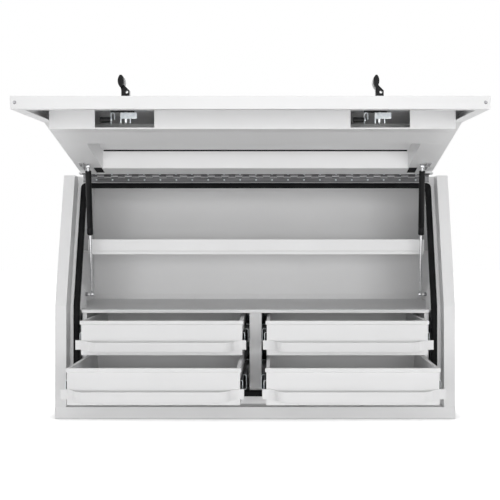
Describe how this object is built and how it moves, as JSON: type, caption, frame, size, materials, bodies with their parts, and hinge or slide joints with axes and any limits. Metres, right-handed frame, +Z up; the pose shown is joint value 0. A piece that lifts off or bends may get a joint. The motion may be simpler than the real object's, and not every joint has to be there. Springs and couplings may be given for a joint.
{
  "type": "truck toolbox",
  "caption": "Steel truck toolbox with a knee-bent lift-up lid on gas struts, rubber-sealed opening, shelves and sliding drawers",
  "frame": {"origin": "centre of the base's footprint, on the surface that the box stands on", "axes": "+X to the right as seen from the front, +Y from the front to the back, +Z up"},
  "size_m": [1.2, 1.0897, 0.9667],
  "materials": {
    "white_coat": "textured white powder coat",
    "seal_rubber": "matt black rubber",
    "zinc": "zinc plated",
    "rod_chrome": "polished",
    "black_paint": "satin black",
    "black_plastic": "matt black"
  },
  "bodies": {
    "box": {"side_panel_right": "white_coat", "side_panel_left": "white_coat", "back_panel": "white_coat", "floor_panel": "white_coat", "top_panel": "white_coat", "front_sill": "white_coat", "door_seal": "seal_rubber", "upper_shelf": "white_coat", "lower_shelf": "white_coat", "centre_divider": "white_coat", "slide_post_right": "white_coat", "slide_post_left": "white_coat", "slide_outer_members": "zinc", "strut_brackets": "zinc", "hinge_leaf_body": "zinc", "hinge_pin": "zinc", "hinge_screws_body": "zinc"},
    "lid": {"lid_skin": "white_coat", "lid_rivets": "zinc", "lid_frame_front": "white_coat", "lid_frame_side_right": "white_coat", "lid_frame_side_left": "white_coat", "lid_frame_hinge": "white_coat", "lid_strut_brackets": "zinc", "hinge_leaf_lid": "zinc", "hinge_screws_lid": "zinc", "lock_barrels": "black_plastic", "lock_clips": "zinc", "latch_base_left": "black_plastic", "latch_base_right": "black_plastic"},
    "latch_turn_left": {"latch_shaft_left": "zinc", "latch_lever_left": "zinc", "latch_nut_left": "zinc", "latch_pin_left": "zinc"},
    "latch_grip_left": {"latch_handle_left": "black_paint"},
    "latch_turn_right": {"latch_shaft_right": "zinc", "latch_lever_right": "zinc", "latch_nut_right": "zinc", "latch_pin_right": "zinc"},
    "latch_grip_right": {"latch_handle_right": "black_paint"},
    "strut_tube_left": {"strut_cylinder_left": "black_paint"},
    "strut_bar_left": {"strut_rod_left": "rod_chrome"},
    "strut_tube_right": {"strut_cylinder_right": "black_paint"},
    "strut_bar_right": {"strut_rod_right": "rod_chrome"},
    "stage_upper_left": {"slide_middle_upper_left": "zinc"},
    "tray_upper_left": {"drawer_upper_left": "white_coat", "drawer_handle_upper_left": "white_coat", "slide_inner_upper_left": "zinc"},
    "stage_upper_right": {"slide_middle_upper_right": "zinc"},
    "tray_upper_right": {"drawer_upper_right": "white_coat", "drawer_handle_upper_right": "white_coat", "slide_inner_upper_right": "zinc"},
    "stage_lower_left": {"slide_middle_lower_left": "zinc"},
    "tray_lower_left": {"drawer_lower_left": "white_coat", "drawer_handle_lower_left": "white_coat", "slide_inner_lower_left": "zinc"},
    "stage_lower_right": {"slide_middle_lower_right": "zinc"},
    "tray_lower_right": {"drawer_lower_right": "white_coat", "drawer_handle_lower_right": "white_coat", "slide_inner_lower_right": "zinc"}
  },
  "joints": [
    {"name": "lid_swing", "type": "hinge", "parent": "box", "child": "lid", "pos_m": [0, -0.11408, 0.739], "axis": [-1, 0, 0], "range_deg": [-88, 0]},
    {"name": "latch_turn_left", "type": "hinge", "parent": "lid", "child": "latch_turn_left", "pos_m": [-0.332, -0.58124, 0.8787], "axis": [0, -0.0349, 0.9994], "range_deg": [-90, 0]},
    {"name": "latch_fold_left", "type": "hinge", "parent": "latch_turn_left", "child": "latch_grip_left", "pos_m": [-0.332, -0.58187, 0.89669], "axis": [0, 0.9994, 0.0349], "range_deg": [-80, 0]},
    {"name": "latch_turn_right", "type": "hinge", "parent": "lid", "child": "latch_turn_right", "pos_m": [0.332, -0.58124, 0.8787], "axis": [0, -0.0349, 0.9994], "range_deg": [-90, 0]},
    {"name": "latch_fold_right", "type": "hinge", "parent": "latch_turn_right", "child": "latch_grip_right", "pos_m": [0.332, -0.58187, 0.89669], "axis": [0, 0.9994, 0.0349], "range_deg": [-80, 0]},
    {"name": "strut_swing_left", "type": "hinge", "parent": "lid", "child": "strut_tube_left", "pos_m": [-0.502, -0.26392, 0.75695], "axis": [1, 0, 0], "range_deg": [-104.56, 0]},
    {"name": "strut_stroke_left", "type": "slide", "parent": "strut_tube_left", "child": "strut_bar_left", "axis": [0.0431, -0.333, 0.9419], "range_m": [0, 0.1911]},
    {"name": "strut_swing_right", "type": "hinge", "parent": "lid", "child": "strut_tube_right", "pos_m": [0.502, -0.26392, 0.75695], "axis": [1, 0, 0], "range_deg": [-104.56, 0]},
    {"name": "strut_stroke_right", "type": "slide", "parent": "strut_tube_right", "child": "strut_bar_right", "axis": [-0.0431, -0.333, 0.9419], "range_m": [0, 0.1911]},
    {"name": "stage_slide_upper_left", "type": "slide", "parent": "box", "child": "stage_upper_left", "axis": [0, -1, 0], "range_m": [-0.1395, 0]},
    {"name": "drawer_slide_upper_left", "type": "slide", "parent": "stage_upper_left", "child": "tray_upper_left", "axis": [0, -1, 0], "range_m": [-0.085, 0.104]},
    {"name": "stage_slide_upper_right", "type": "slide", "parent": "box", "child": "stage_upper_right", "axis": [0, -1, 0], "range_m": [-0.1395, 0]},
    {"name": "drawer_slide_upper_right", "type": "slide", "parent": "stage_upper_right", "child": "tray_upper_right", "axis": [0, -1, 0], "range_m": [-0.085, 0.104]},
    {"name": "stage_slide_lower_left", "type": "slide", "parent": "box", "child": "stage_lower_left", "axis": [0, -1, 0], "range_m": [-0.3065, 0]},
    {"name": "drawer_slide_lower_left", "type": "slide", "parent": "stage_lower_left", "child": "tray_lower_left", "axis": [0, -1, 0], "range_m": [-0.085, 0.104]},
    {"name": "stage_slide_lower_right", "type": "slide", "parent": "box", "child": "stage_lower_right", "axis": [0, -1, 0], "range_m": [-0.3065, 0]},
    {"name": "drawer_slide_lower_right", "type": "slide", "parent": "stage_lower_right", "child": "tray_lower_right", "axis": [0, -1, 0], "range_m": [-0.085, 0.104]}
  ],
  "couplings": [
    {"joint": "strut_swing_left", "follows": "lid_swing", "ratio": 1.186},
    {"joint": "strut_stroke_left", "follows": "lid_swing", "m_per_rad": -0.12419},
    {"joint": "strut_swing_right", "follows": "lid_swing", "ratio": 1.186},
    {"joint": "strut_stroke_right", "follows": "lid_swing", "m_per_rad": -0.12419},
    {"joint": "stage_slide_upper_left", "follows": "lid_swing", "m_per_rad": 0.090501},
    {"joint": "stage_slide_upper_right", "follows": "lid_swing", "m_per_rad": 0.090501},
    {"joint": "stage_slide_lower_left", "follows": "lid_swing", "m_per_rad": 0.19923},
    {"joint": "stage_slide_lower_right", "follows": "lid_swing", "m_per_rad": 0.19923}
  ]
}
